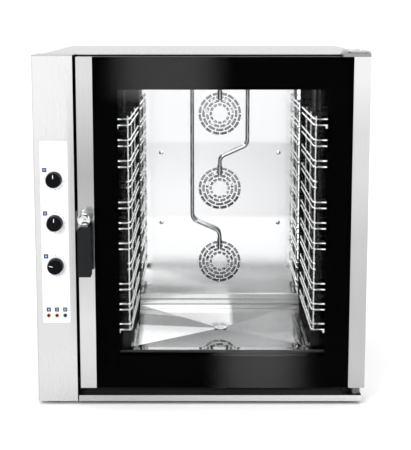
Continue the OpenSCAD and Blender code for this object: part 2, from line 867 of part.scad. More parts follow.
// A fan wheel on its shaft.
module fan_wheel(z) {
    hub_r = 18;
    blade = 24;
    color("silver") translate([cavity_x, 0, z]) {
        difference() {
            union() {
                rod_y(0, fan_back - weld, 0, fan_r, weld);
                rod_y(0, fan_back - fan_depth * 0.6, 0, hub_r, fan_depth * 0.6);
                rod_y(0, fan_back - fan_depth * 0.6 - weld, 0, shaft_r,
                      motor_front - fan_back + fan_depth * 1.6);
            }
            for (k = [1 : 6]) rotate([0, k * 60, 0])
                rod_y(fan_r * 0.45, fan_back - 2 * weld, 0, hub_r / 2, 4 * weld);
        }
        for (k = [1 : blades]) rotate([0, k * 360 / blades, 0])
            translate([fan_r - blade * 0.62, fan_front, 0]) rotate([0, 40, 0])
                translate([-blade / 2, 0, -weld / 2]) cube([blade, fan_depth - fit, weld]);
        difference() {
            rod_y(0, fan_front, 0, fan_r, weld);
            rod_y(0, fan_front - eps, 0, fan_r * 0.78, weld + 2 * eps);
        }
    }
}

module upper_fan_wheel() {
    fan_wheel(fan_zs[2]);
}

module middle_fan_wheel() {
    fan_wheel(fan_zs[1]);
}

module lower_fan_wheel() {
    fan_wheel(fan_zs[0]);
}

module fan_motors() {
    color("dimgray") for (z = fan_zs) difference() {
        union() {
            rod_y(cavity_x, motor_front, z, motor_r, motor_length);
            block([cavity_x - motor_r, motor_front - 3, z - motor_r],
                  [cavity_x + motor_r, motor_front, z + motor_r]);
            for (x = [-1, 1], side_z = [-1, 1])
                rod_y(cavity_x + x * motor_stud_x, back_outer, z + side_z * motor_stud_x, pipe_r,
                      motor_front - back_outer - 3);
        }
        rod_y(cavity_x, motor_front - 4, z, shaft_r + fit, motor_length * 0.85);
    }
}

// Two turns of heating tube on one flange. The front turn's ends pass through the rear turn's gap.
module heater(z) {
    turn_ys = [fan_front + 6, fan_front + 26];
    color("dimgray") translate([cavity_x, 0, z]) {
        for (i = [0, 1]) {
            translate([0, turn_ys[i], 0]) rotate([-90, 0, 0]) rotate(heater_gap[i])
                rotate_extrude(angle = 360 - 2 * heater_gap[i])
                    translate([heater_r, 0]) circle(heater_tube_r);
            for (side = [-1, 1]) rotate([0, side * heater_gap[i], 0]) {
                rod_y(heater_r, turn_ys[i] - heater_tube_r - eps, 0, heater_tube_r,
                      insulation_rear + 10 - turn_ys[i] + heater_tube_r + eps);
            }
        }
        block([heater_r - 12, back_wall - 3, -heater_plate / 2],
              [heater_r + 12, back_wall, heater_plate / 2]);
    }
}

module heaters() {
    for (z = fan_zs) heater(z);
}

module control_fascia() {
    low = [knob_x - fascia_width / 2, fascia_bottom];
    color("white") front_plate(fascia_front, sheet) difference() {
        round_panel(low, low + [fascia_width, fascia_height], fascia_corner);
        for (z = knob_zs) translate([knob_x, z]) circle(bush_hole_r);
        for (x = lamp_xs) translate([x, lamp_z]) circle(lamp_hole_r);
    }
}

// A knob and its shaft, with a pointer's groove turned from straight up.
module knob(z, turn) {
    groove = 2.4;
    color("black") translate([knob_x, 0, z]) rotate([0, -turn, 0]) {
        difference() {
            translate([0, knob_rear, 0]) rotate([90, 0, 0])
                cylinder(r1 = knob_r, r2 = knob_r - 2, h = knob_length);
            rod_y(0, knob_rear - knob_length / 3, 0, nut_r + weld, knob_length);
            block([-groove / 2, knob_rear - knob_length - eps, knob_r * 0.2],
                  [groove / 2, knob_rear - knob_length + gap, knob_r * 0.8]);
        }
        rod_y(0, knob_rear - knob_length / 2, 0, knob_shaft_r, knob_length / 2 + 20);
    }
}

module temperature_knob() {
    knob(knob_zs[0], 0);
}

module timer_knob() {
    knob(knob_zs[1], 0);
}

module humidity_knob() {
    knob(knob_zs[2], low_knob_turn);
}

// A switch body behind the column's front, with a bush and a nut that clamp it there.
module control_unit(z, width, depth) {
    color("slategray") difference() {
        union() {
            block([knob_x - width / 2, unit_front, z - width / 2],
                  [knob_x + width / 2, unit_front + depth, z + width / 2]);
            rod_y(knob_x, fascia_front - nut_depth - eps, z, bush_r, nut_depth + 3 * sheet + eps);
            translate([knob_x, fascia_front, z]) rotate([90, 0, 0])
                cylinder(r = nut_r, h = nut_depth, $fn = 6);
        }
        rod_y(knob_x, fascia_front - 2 * nut_depth, z, knob_shaft_r + fit,
              depth + 2 * nut_depth - sheet);
    }
}

module thermostat() {
    control_unit(knob_zs[0], 46, 40);
}

module timer_unit() {
    control_unit(knob_zs[1], 56, 48);
}

module humidity_regulator() {
    control_unit(knob_zs[2], 42, 36);
}

module lamp_bezels() {
    color("white") for (x = lamp_xs) front_plate(fascia_front - 1, 1) difference() {
        translate([x, lamp_z]) square(bezel_side, center = true);
        translate([x, lamp_z]) circle(lamp_hole_r);
    }
}

module lamp_lenses() {
    color("darkred") for (x = lamp_xs) {
        translate([x, fascia_front - 1, lamp_z]) sphere(lens_r);
        rod_y(x, fascia_front - 1, lamp_z, lens_r, 30);
    }
}

module mounting_plate() {
    foot = 25;
    low = [plate_x, column_rear + 60, 220];
    high = [plate_x + weld, rear - 180, 780];
    color("silver") {
        block(low, high);
        for (y = [low[1], high[1] - weld])
            block([casing_left + sheet, y, low[2]], [plate_x + eps, y + weld, high[2]]);
        for (y = [low[1], high[1] - foot])
            block([casing_left + sheet, y, low[2]], [casing_left + sheet + weld, y + foot, high[2]]);
    }
}

module contactors() {
    size = [62, 45, 80];
    color("darkslategray") for (i = [0 : 2])
        translate([plate_x + weld, column_rear + 90 + i * 60, 600]) {
            cube(size);
            translate([0, size[1] / 4, -10]) cube([size[0] / 2, size[1] / 2, size[2] + 20]);
        }
}

module terminal_block() {
    poles = 6;
    size = [34, 20, 44];
    color("beige") for (i = [0 : poles - 1])
        translate([plate_x + weld, column_rear + 90 + i * (size[1] + weld), 300]) difference() {
            cube(size);
            rod_x(size[0] / 2, size[1] / 2, size[2] / 2, size[1] / 4, size[0]);
        }
}

module cable_gland() {
    nut = 8;
    color("dimgray") difference() {
        union() {
            rod_y(service_x, rear - sheet - nut, service_z, gland_r, nut + sheet + rear_reach * 0.5);
            translate([service_x, rear + nut, service_z]) rotate([90, 0, 0])
                cylinder(r = gland_hex_r, h = nut, $fn = 6);
            translate([service_x, rear - sheet, service_z]) rotate([90, 0, 0])
                cylinder(r = gland_hex_r, h = nut, $fn = 6);
        }
        rod_y(service_x, rear - 2 * nut, service_z, gland_bore_r, 3 * nut + rear_reach);
    }
}

module vent_pipe() {
    color("silver") difference() {
        union() {
            rod_y(vent_x, back_outer, vent_z, vent_r, rear_end - back_outer);
            rod_y(vent_x, stub_y, vent_z, vent_r + eps, rear_end - stub_y);
        }
        rod_y(vent_x, back_outer - eps, vent_z, vent_r - sheet, rear_end - back_outer + 2 * eps);
    }
}

module door_outer_glass() {
    color("black", 0.4) front_plate(front, outer_glass)
        panel([glass_left, door_bottom], [glass_right, door_top]);
}

module glass_border() {
    color("black") front_plate(glass_rear, border) difference() {
        panel([glass_left, door_bottom], [glass_right, door_top]);
        panel([window_left, window_bottom], [window_right, window_top]);
    }
}

// A door profile: a channel open towards the glass, with closed ends.
module channel(low, high, open_side) {
    difference() {
        block(low, high);
        block([low[0] + (open_side < 0 ? -eps : sheet), front + sheet, low[2] + sheet],
              [high[0] - (open_side > 0 ? -eps : sheet), door_rear - sheet, high[2] - sheet]);
    }
}

module door_left_profile() {
    color("gainsboro") difference() {
        channel([door_left, front, door_bottom], [glass_left, door_rear, door_top], 1);
        rod_y(handle_x, front - eps, handle_z, spindle_r + 0.06, door_depth + 2 * eps);
    }
}

module door_right_profile() {
    color("gainsboro") difference() {
        channel([glass_right, front, door_bottom], [door_right, door_rear, door_top], -1);
        translate([hinge_x, hinge_y, 0]) cylinder(r = hinge_pin_r + weld, h = hinge_top);
    }
}

module door_bars() {
    color("silver") for (z = [door_bottom, door_top - bar_height]) difference() {
        block([glass_left, border_rear, z], [glass_right, inner_front, z + bar_height]);
        block([glass_left - eps, border_rear + weld, z + weld],
              [glass_right + eps, inner_front - weld, z + bar_height - weld]);
    }
}

module door_inner_frame() {
    color("gray") front_plate(inner_front, sheet) difference() {
        panel([glass_left, door_bottom], [glass_right, door_top]);
        panel([window_left - inner_gap, window_bottom - inner_low],
              [window_right + inner_gap, window_top + inner_low]);
    }
}

module door_inner_glass() {
    lap = 14;
    color("lightblue", 0.3) front_plate(inner_front - inner_glass, inner_glass)
        panel([window_left - inner_gap - lap, window_bottom - inner_low - lap],
              [window_right + inner_gap + lap, window_top + inner_low + lap]);
}

module hinge_sockets() {
    leaf_depth = door_depth - 4;
    color("silver") {
        difference() {
            union() {
                block([glass_right + eps, front + sheet, door_top - sheet - socket_depth],
                      [door_right - sheet, door_rear - sheet, door_top - sheet]);
                translate([hinge_x, hinge_y, door_top - 2 * sheet])
                    cylinder(r = hinge_pin_r + weld - fit, h = 3 * sheet);
                block([leaf_left, front + weld, door_top],
                      [door_right, front + weld + leaf_depth, leaf_top]);
            }
            translate([hinge_x, hinge_y, door_top - sheet - socket_depth - eps])
                cylinder(r = hinge_pin_r + fit, h = socket_depth + 20);
        }
        difference() {
            block([glass_right + eps, front + sheet, door_bottom + sheet],
                  [door_right - sheet, door_rear - sheet, door_bottom + sheet + socket_depth]);
            translate([hinge_x, hinge_y, door_bottom])
                cylinder(r = hinge_pin_r + fit, h = socket_depth + 20);
        }
    }
}

module handle_grip() {
    color("black") difference() {
        front_plate(grip_front, grip_depth) {
            round_panel([handle_x - grip_width / 2, grip_bottom + grip_width],
                        [handle_x + grip_width / 2, grip_top], grip_shoulder);
            round_panel([handle_x - grip_width / 2, grip_bottom],
                        [handle_x + grip_width / 2, grip_top - grip_width], grip_corner);
        }
        block([handle_x - neck_width / 2 - fit, grip_front + neck_depth / 2 - fit, neck_low - 20 - fit],
              [handle_x + neck_width / 2 + fit, grip_front + neck_depth * 1.5 + fit, grip_top + eps]);
    }
}

module handle_boss() {
    color("silver") {
        rod_y(handle_x, grip_front + neck_depth / 2 - weld, handle_z, boss_r,
              front - gap - grip_front - neck_depth / 2 + weld);
        block([handle_x - neck_width / 2, grip_front + neck_depth / 2, neck_low - 20],
              [handle_x + neck_width / 2, grip_front + neck_depth * 1.5, handle_z]);
        rod_y(handle_x, front - eps, handle_z, spindle_r, cam_front + cam_depth - front + eps);
        rod_y(handle_x, cam_front, handle_z, boss_r * 0.6, cam_depth);
        block([handle_x - weld * 3, cam_front, handle_z - boss_r * 1.4],
              [handle_x + weld * 3, cam_front + cam_depth, handle_z]);
    }
}

module latch_striker() {
    width = 8;
    color("silver") {
        block([handle_x - boss_r * 1.2 - width, frame_front - weld, handle_z - 3 * boss_r],
              [handle_x - boss_r * 0.6, frame_front, handle_z]);
        block([handle_x - boss_r * 0.6 - weld, cam_front, handle_z - 2 * boss_r],
              [handle_x - boss_r * 0.6, frame_front - weld + eps, handle_z - boss_r]);
    }
}

module top_hinge_bracket() {
    under = hinge_top - hinge_plate;
    reach = 130;
    tail = 38;
    color("silver") {
        translate([0, 0, under]) linear_extrude(hinge_plate) {
            panel([hinge_x - 32, front + weld], [door_right - weld, casing_front + reach - tail]);
            translate([(hinge_x - 32 + door_right - weld) / 2, casing_front + reach - tail])
                circle((door_right - weld - hinge_x + 32) / 2);
            panel([leaf_left, front + hinge_back], [hinge_x - 32 + eps, front + 2 * hinge_back]);
        }
        block([hinge_x - 28, casing_front + weld, casing_top],
              [door_right - 6, casing_front + reach - tail, under]);
        translate([hinge_x, hinge_y, door_top - sheet - socket_depth + pin_gap])
            cylinder(r = hinge_pin_r, h = under - door_top + sheet + socket_depth - pin_gap);
    }
}

module bottom_hinge_bracket() {
    boss = 14;
    color("silver") {
        translate([hinge_x, hinge_y, foot_height + sheet])
            cylinder(r = boss, h = door_bottom - foot_height - 2 * sheet);
        block([hinge_x - 2 * boss, hinge_y - boss, foot_height + sheet],
              [hinge_x + boss - 2, frame_front - sheet, foot_height + sheet + 4]);
        translate([hinge_x, hinge_y, door_bottom - 2 * sheet])
            cylinder(r = hinge_pin_r, h = socket_depth - pin_gap + 2 * sheet);
    }
}

// The head of a screw that holds a panel.
module panel_screw(height) {
    cylinder(r1 = screw_head_r, r2 = screw_head_r * 0.7, h = height);
}

module panel_screws() {
    inset = 20;
    zs = [80, 360, 640, 920];
    color("silver") {
        for (x = [casing_left + inset, casing_right - inset], z = zs)
            translate([x, rear, z]) rotate([-90, 0, 0]) panel_screw(weld);
        for (y = [casing_front + inset, rear - inset], z = [zs[0], zs[3]])
            translate([casing_right, y, z]) rotate([0, 90, 0]) panel_screw(right_inset);
        for (y = [column_rear + inset, rear - inset], z = [zs[0], zs[3]])
            translate([casing_left, y, z]) rotate([0, -90, 0]) panel_screw(weld);
    }
}

base_chassis();
feet();
drip_gutter();
control_column();
left_side_panel();
right_side_panel();
top_panel();
rear_panel();
front_frame();
cavity_shell();
cavity_floor();
drain_strainer();
drain_pipe();
insulation();
door_gasket();
rack_posts();
left_rack_guides();
right_rack_guides();
rack_studs();
fan_baffle();
baffle_pillars();
baffle_screws();
upper_water_pipe();
middle_water_pipe();
lower_water_pipe();
water_manifold();
water_valve();
upper_fan_wheel();
middle_fan_wheel();
lower_fan_wheel();
fan_motors();
heaters();
control_fascia();
temperature_knob();
timer_knob();
humidity_knob();
thermostat();
timer_unit();
humidity_regulator();
lamp_bezels();
lamp_lenses();
mounting_plate();
contactors();
terminal_block();
cable_gland();
vent_pipe();
door_outer_glass();
glass_border();
door_left_profile();
door_right_profile();
door_bars();
door_inner_frame();
door_inner_glass();
hinge_sockets();
handle_grip();
handle_boss();
latch_striker();
top_hinge_bracket();
bottom_hinge_bracket();
panel_screws();
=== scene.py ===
import json
import math

import bmesh
import bpy
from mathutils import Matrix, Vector


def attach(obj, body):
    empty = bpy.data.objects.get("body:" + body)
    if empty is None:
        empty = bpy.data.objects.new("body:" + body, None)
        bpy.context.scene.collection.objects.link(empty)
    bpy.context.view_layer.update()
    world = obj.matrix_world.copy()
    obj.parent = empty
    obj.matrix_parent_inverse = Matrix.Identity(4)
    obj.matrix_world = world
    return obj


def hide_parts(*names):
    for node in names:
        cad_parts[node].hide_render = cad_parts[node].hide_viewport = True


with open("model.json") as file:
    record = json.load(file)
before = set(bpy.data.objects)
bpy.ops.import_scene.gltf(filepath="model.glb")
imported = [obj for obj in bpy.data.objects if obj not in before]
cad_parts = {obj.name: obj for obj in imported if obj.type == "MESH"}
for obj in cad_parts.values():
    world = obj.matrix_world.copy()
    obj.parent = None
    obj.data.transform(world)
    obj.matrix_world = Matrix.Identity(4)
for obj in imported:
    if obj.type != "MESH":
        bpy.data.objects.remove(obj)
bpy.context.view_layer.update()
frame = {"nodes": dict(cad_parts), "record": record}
nodes = frame["nodes"]
scene = bpy.context.scene

# places in metres, the same as in the part's source
FRONT, REAR = -0.387, 0.413
CAVITY_X = 0.058
BAFFLE_Y = FRONT + 0.560
HINGE_TOP = 0.995
HANDLE_X, HANDLE_Z = -0.3185, 0.543
KNOB_X, KNOB_ZS = -0.4045, (0.645, 0.524, 0.403)
LAMP_XS, LAMP_Z = (-0.4265, -0.4035, -0.3805), 0.261
FASCIA_Y = FRONT - 0.0015
INK_THICK = 0.0002

# ---------------------------------------------------------------- camera and studio
cam_data = bpy.data.cameras.new("camera")
cam_data.lens = 83.78
cam_data.sensor_width = 36.0
cam_data.shift_y = -0.14
camera = bpy.data.objects.new("camera", cam_data)
camera.location = (0.0113, -3.227, 1.097)
camera.rotation_euler = (math.radians(90 - 8.087), 0, 0)
scene.collection.objects.link(camera)
scene.camera = camera
scene.view_settings.view_transform = "Standard"


def light(kind, name, place, target, power):
    data = bpy.data.lights.new(name, kind)
    data.energy = power
    obj = bpy.data.objects.new(name, data)
    obj.location = place
    obj.rotation_euler = (Vector(target) - Vector(place)).to_track_quat("-Z", "Y").to_euler()
    scene.collection.objects.link(obj)
    return data


def area_light(name, place, target, size, power):
    data = light("AREA", name, place, target, power)
    data.shape = "RECTANGLE"
    data.size, data.size_y = size
    bpy.data.objects[name].visible_camera = False


area_light("key", (-1.7, -3.6, 2.6), (0, -0.3, 0.5), (1.6, 1.4), 75)
area_light("fill", (2.6, -2.8, 1.9), (0.1, -0.3, 0.5), (0.9, 2.0), 30)
area_light("cavity_fill", (CAVITY_X, -0.10, 0.898), (CAVITY_X, -0.06, 0.2), (0.5, 0.3), 2.3)
area_light("fan_fill", (CAVITY_X, 0.215, 0.888), (CAVITY_X, 0.215, 0.2), (0.46, 0.05), 0.12)
for side in (-1, 1):
    area_light("rack_fill_%d" % side, (CAVITY_X + side * 0.300, -0.305, 0.52),
               (CAVITY_X + side * 0.262, 0.05, 0.52), (0.012, 0.72), 0.06)
sun = light("SUN", "overhead", (0, -0.35, 3), (0, 0, 0), 1.9)
sun.angle = math.radians(55)

world = bpy.data.worlds.new("studio")
scene.world = world
world.use_nodes = True
wt = world.node_tree
background = wt.nodes["Background"]
background.inputs["Strength"].default_value = 1.03


def math_node(nt, operation, a, b):
    n = nt.nodes.new("ShaderNodeMath")
    n.operation = operation
    for i, v in enumerate((a, b)):
        if isinstance(v, (int, float)):
            n.inputs[i].default_value = v
        else:
            nt.links.new(v, n.inputs[i])
    return n.outputs[0]


def product(nt, first, *others):
    for value in others:
        first = math_node(nt, "MULTIPLY", first, value)
    return first


def total(nt, first, *others):
    for value in others:
        first = math_node(nt, "ADD", first, value)
    return first


def from_cavity_middle(nt, at):
    return math_node(nt, "ABSOLUTE", math_node(nt, "SUBTRACT", at[0], CAVITY_X), 0)


def ramp(nt, fac, low, high, start=0.3, end=0.7, smooth=False):
    """fac from start to end, as a value from low to high."""
    r = nt.nodes.new("ShaderNodeMapRange")
    r.interpolation_type = "SMOOTHSTEP" if smooth else "LINEAR"
    r.inputs["From Min"].default_value = start
    r.inputs["From Max"].default_value = end
    r.inputs["To Min"].default_value = low
    r.inputs["To Max"].default_value = high
    nt.links.new(fac, r.inputs["Value"])
    return r.outputs["Result"]


def blend_colour(nt, fac, a, b):
    m = nt.nodes.new("ShaderNodeMix")
    m.data_type = "RGBA"
    for i, v in ((6, a), (7, b)):
        if isinstance(v, tuple):
            m.inputs[i].default_value = (*v, 1)
        else:
            nt.links.new(v, m.inputs[i])
    nt.links.new(fac, m.inputs[0])
    return m.outputs[2]


def blend_value(nt, fac, a, b):
    m = nt.nodes.new("ShaderNodeMix")
    for i, v in ((0, fac), (2, a), (3, b)):
        nt.links.new(v, m.inputs[i])
    return m.outputs[0]


def axes(nt, output):
    coords = nt.nodes.new("ShaderNodeTexCoord")
    split = nt.nodes.new("ShaderNodeSeparateXYZ")
    nt.links.new(coords.outputs[output], split.inputs[0])
    return split.outputs


# the studio is white, with a soft box in front of the oven and a dark wall above it
WHITE_WORLD, SOFT_BOX, DARK_WALL = (1, 1, 1), (1.65, 1.65, 1.65), (0.10, 0.10, 0.11)
direction = axes(wt, "Generated")
in_front = ramp(wt, direction[1], 0, 1, -0.05, -0.3)
high_up = ramp(wt, direction[2], 0, 1, 0.44, 0.54)
box_height = product(wt, ramp(wt, direction[2], 0, 1, 0.22, 0.27), ramp(wt, direction[2], 1, 0, 0.42, 0.46))
box_light = blend_colour(wt, product(wt, in_front, box_height), WHITE_WORLD, SOFT_BOX)
wt.links.new(blend_colour(wt, product(wt, in_front, high_up), box_light, DARK_WALL),
             background.inputs["Color"])


# ---------------------------------------------------------------- materials
def grey(value):
    return (value, value, value)


def new_material(name):
    m = bpy.data.materials.new(name)
    m.use_nodes = True
    nt = m.node_tree
    return m, nt, nt.nodes["Principled BSDF"]


def place(nt, scale, shift=(0, 0, 0)):
    """Object position, stretched by scale and then shifted, as a texture's vector."""
    coords = nt.nodes.new("ShaderNodeTexCoord")
    mapping = nt.nodes.new("ShaderNodeMapping")
    mapping.inputs["Scale"].default_value = scale
    mapping.inputs["Location"].default_value = shift
    nt.links.new(coords.outputs["Object"], mapping.inputs["Vector"])
    return mapping.outputs["Vector"]


def noise(nt, scale, detail=4.0, rough=0.5):
    n = nt.nodes.new("ShaderNodeTexNoise")
    n.inputs["Scale"].default_value = 1.0
    n.inputs["Detail"].default_value = detail
    n.inputs["Roughness"].default_value = rough
    nt.links.new(place(nt, scale), n.inputs["Vector"])
    return n.outputs["Fac"]


def band(nt, at, middle, flat, fade):
    """1 within flat of the middle, falling softly to 0 over the fade."""
    away = math_node(nt, "ABSOLUTE", math_node(nt, "SUBTRACT", at, middle), 0)
    return ramp(nt, away, 1, 0, flat, flat + fade, True)


def bump(nt, bsdf, height, strength, distance):
    b = nt.nodes.new("ShaderNodeBump")
    b.inputs["Strength"].default_value = strength
    b.inputs["Distance"].default_value = distance
    nt.links.new(height, b.inputs["Height"])
    nt.links.new(b.outputs["Normal"], bsdf.inputs["Normal"])


def steel(name, a, b, rough, grain, strength=0.08, distance=0.0001, shade=None, duller=None):
    """Steel with a grain that runs along one axis. shade makes a factor for its colour from the position,
    which paints light and shade into it, and duller makes what is added to its roughness."""
    m, nt, s = new_material(name)
    streaks = noise(nt, grain, 6.0, 0.6)
    clouds = noise(nt, (3, 3, 3), 3.0)
    colour = blend_colour(nt, ramp(nt, streaks, 0, 1), a, b)
    if shade:
        colour = blend_colour(nt, shade(nt, axes(nt, "Object")), grey(0.004), colour)
    nt.links.new(colour, s.inputs["Base Color"])
    rough_grain = ramp(nt, streaks, rough[0], rough[1])
    rough_grain = math_node(nt, "ADD", rough_grain, ramp(nt, clouds, 0, rough[0] * 0.2))
    if duller:
        rough_grain = math_node(nt, "ADD", rough_grain, duller(nt, axes(nt, "Object")))
    nt.links.new(rough_grain, s.inputs["Roughness"])
    s.inputs["Metallic"].default_value = 1.0
    bump(nt, s, streaks, strength, distance)
    return m


def plastic(name, a, b, rough, scale, strength=0.1, distance=0.0001, specular=0.5, shade=None):
    m, nt, s = new_material(name)
    grain = noise(nt, (scale,) * 3, 4.0)
    clouds = noise(nt, (9, 9, 9), 3.0)
    colour = blend_colour(nt, ramp(nt, clouds, 0, 1), a, b)
    if shade:
        colour = shade(nt, axes(nt, "Object"), colour)
    nt.links.new(colour, s.inputs["Base Color"])
    nt.links.new(ramp(nt, grain, rough[0], rough[1]), s.inputs["Roughness"])
    s.inputs["Specular IOR Level"].default_value = specular
    bump(nt, s, grain, strength, distance)
    return m


def pane(name, tint, mirror, glows=()):
    """Thin flat glass: what is behind it, tinted,
    under a mirror that follows the viewing angle. Each glow is a painted reflection, a
    soft patch that mirrors more: its middle, flat part and fade along x, the same along z,
    and its strength."""
    m = bpy.data.materials.new(name)
    m.use_nodes = True
    nt = m.node_tree
    nt.nodes.clear()
    out = nt.nodes.new("ShaderNodeOutputMaterial")
    mix = nt.nodes.new("ShaderNodeMixShader")
    clear = nt.nodes.new("ShaderNodeBsdfTransparent")
    gloss = nt.nodes.new("ShaderNodeBsdfGlossy")
    facing = nt.nodes.new("ShaderNodeFresnel")
    clouds = noise(nt, (6, 6, 6), 2.0)
    clear.inputs["Color"].default_value = (*tint, 1)
    facing.inputs["IOR"].default_value = 1.5
    share = ramp(nt, clouds, mirror * 0.8, mirror * 1.2)
    at = axes(nt, "Object")
    for along_x, along_z, strength in glows:
        patch = math_node(nt, "MULTIPLY", band(nt, at[0], *along_x), band(nt, at[2], *along_z))
        share = math_node(nt, "ADD", share, math_node(nt, "MULTIPLY", patch, strength))
    nt.links.new(ramp(nt, clouds, 0.0, 0.012), gloss.inputs["Roughness"])
    nt.links.new(math_node(nt, "MULTIPLY", facing.outputs[0], share), mix.inputs[0])
    nt.links.new(clear.outputs[0], mix.inputs[1])
    nt.links.new(gloss.outputs[0], mix.inputs[2])
    nt.links.new(mix.outputs[0], out.inputs["Surface"])
    return m


def column_shade(nt, at):
    """Painted reflection and painted shade: darker beside the door at mid height, brighter at the top,
    black at its side in the gap beside the door, and darker rims at its left and top edges."""
    beside = product(nt, ramp(nt, at[0], 0, 0.18, -0.374, -0.358), band(nt, at[2], 0.55, 0.12, 0.32))
    edge = ramp(nt, at[0], 1, 0, -0.3499, -0.3492)
    tone = total(nt, ramp(nt, at[2], 0.72, 0.78, 0.1, 0.6), ramp(nt, at[2], 0, 0.09, 0.60, 0.80))
    rims = product(nt, ramp(nt, at[0], 0.72, 1, -0.4592, -0.4570), ramp(nt, at[2], 1, 0.62, 0.9815, 0.9840))
    return product(nt, edge, rims, math_node(nt, "SUBTRACT", tone, beside))


def left_strip_shade(nt, at):
    # painted reflection: the strip's tone changes with height, after the floor and room it mirrors; painted
    # shade along its left side
    side = ramp(nt, at[0], 0, 1, -0.3409, -0.3402)
    tone = total(nt, ramp(nt, at[2], -0.13, 0, 0.08, 0.27), ramp(nt, at[2], 0.79, 0.50, 0.25, 0.50),
                 ramp(nt, at[2], 0, 0.34, 0.66, 0.93))
    return product(nt, tone, side)


def right_strip_shade(nt, at):
    # painted reflection: the strip's tone rises with height, in steps, after the floor and room it mirrors
    return total(nt, ramp(nt, at[2], 0.47, 0.55, 0.08, 0.48), ramp(nt, at[2], 0, 0.16, 0.48, 0.65),
                 ramp(nt, at[2], 0, 0.02, 0.68, 0.78), ramp(nt, at[2], 0, 0.18, 0.78, 0.93))


def frame_shade(nt, at):
    # painted shade: the front frame is black left of the door's edge and in the strip above the door
    return product(nt, ramp(nt, at[0], 0, 1, -0.336, -0.333), ramp(nt, at[2], 1, 0, 0.972, 0.976))


def shell_shade(nt, at):
    """Painted shade: the side walls are dark behind the racks, but for a painted highlight line in each rear
    corner.
    """
    across = math_node(nt, "SUBTRACT", at[0], CAVITY_X)
    inside = ramp(nt, from_cavity_middle(nt, at), 1, 0, 0.252, 0.256)
    left_corner = ramp(nt, math_node(nt, "ABSOLUTE", math_node(nt, "ADD", across, 0.316), 0),
                       0.22, 0, 0.002, 0.005)
    right_corner = ramp(nt, math_node(nt, "ABSOLUTE", math_node(nt, "SUBTRACT", across, 0.316), 0),
                        0.9, 0, 0.003, 0.006)
    return total(nt, inside, left_corner, right_corner)


def gutter_shade(nt, at):
    # painted shade: the gutter is dark inside, and its front is darker towards the left
    return product(nt, ramp(nt, at[0], 0.72, 1, -0.2, 0.3), ramp(nt, at[1], 1, 0.14, -0.3860, -0.3850))


def inner_frame_shade(nt, at):
    return ramp(nt, at[1], 0.04, 1, -0.3260, -0.3255)


def floor_shade(nt, at):
    """Painted reflections: the four falling facets differ in brightness, and the sill gets painted shade
    lines at its steps.
    """
    across = math_node(nt, "DIVIDE", math_node(nt, "SUBTRACT", at[0], CAVITY_X), 0.270)
    along = math_node(nt, "DIVIDE", math_node(nt, "SUBTRACT", at[1], -0.070), 0.226)
    rear_or_right = ramp(nt, math_node(nt, "ADD", along, across), 0, 1, -0.01, 0.01)
    rear_or_left = ramp(nt, math_node(nt, "SUBTRACT", along, across), 0, 1, -0.01, 0.01)
    rear = product(nt, rear_or_right, rear_or_left, ramp(nt, across, 0.70, 0, 0.10, 0.16))
    left = product(nt, math_node(nt, "SUBTRACT", rear_or_left, rear_or_right),
                   ramp(nt, along, 0.70, 0.02, -0.02, 0.02))
    left = math_node(nt, "MAXIMUM", left, 0)
    dim_reflection = product(nt, ramp(nt, along, 0.44, 0.25, -0.6, -0.2), ramp(nt, across, 1.2, 0.50, -0.8, 0.8))
    facets = total(nt, rear, left, dim_reflection)
    # painted shade lines along the sill's steps
    lines = math_node(nt, "MAXIMUM", band(nt, at[2], 0.1542, 0.0012, 0.0010),
                      band(nt, at[2], 0.1395, 0.0010, 0.0010))
    sill = math_node(nt, "SUBTRACT", 1, math_node(nt, "MULTIPLY", lines, 0.55))
    return blend_value(nt, ramp(nt, at[1], 0, 1, 0.1565, 0.1575), facets, sill)


def floor_duller(nt, at):
    """The bright facets and the sill are matt, and the front facet is a mirror."""
    return math_node(nt, "MAXIMUM", ramp(nt, floor_shade(nt, at), 0, 0.10, 0.66, 0.90),
                     ramp(nt, at[1], 0, 0.16, 0.1565, 0.1575))


def baffle_shade(nt, at):
    """Painted shade: a darker band right of the middle and darker towards the bottom left, for darker things
    that the baffle mirrors, and dark at both edges.
    """
    middle = product(nt, band(nt, at[2], 0.555, 0.115, 0.02), ramp(nt, at[0], 0.11, 0.20, 0.0, 0.25))
    low = product(nt, ramp(nt, at[2], 1, 0, 0.27, 0.31), ramp(nt, at[0], 0.14, 0, -0.1, 0.2))
    lowest = product(nt, ramp(nt, at[2], 1, 0, 0.215, 0.250), ramp(nt, at[0], 0.28, 0, 0.0, 0.2))
    tone = math_node(nt, "SUBTRACT", 1, total(nt, low, middle, lowest))
    return product(nt, tone, ramp(nt, from_cavity_middle(nt, at), 1, 0.2, 0.2605, 0.2620))


def baffle_duller(nt, at):
    return ramp(nt, from_cavity_middle(nt, at), 0, -0.11, 0.222, 0.236)


def hinge_shade(nt, at):
    # painted shade: the hinge plate is darker below its top face
    return ramp(nt, at[2], 0.70, 1, 0.9895, 0.9905)


def bead_shade(nt, at):
    # painted shade: the left mouth bead is darker than the right one
    return ramp(nt, at[0], 0.22, 1, -0.1, 0.2)


def wire_shade(nt, at):
    """Painted shade: the wires' ends are darkened where they turn to the posts at the rear."""
    returns = product(nt, ramp(nt, from_cavity_middle(nt, at), 0, 0.94, 0.266, 0.271),
                      ramp(nt, at[1], 0, 1, -0.2, -0.1))
    return math_node(nt, "SUBTRACT", 1, returns)


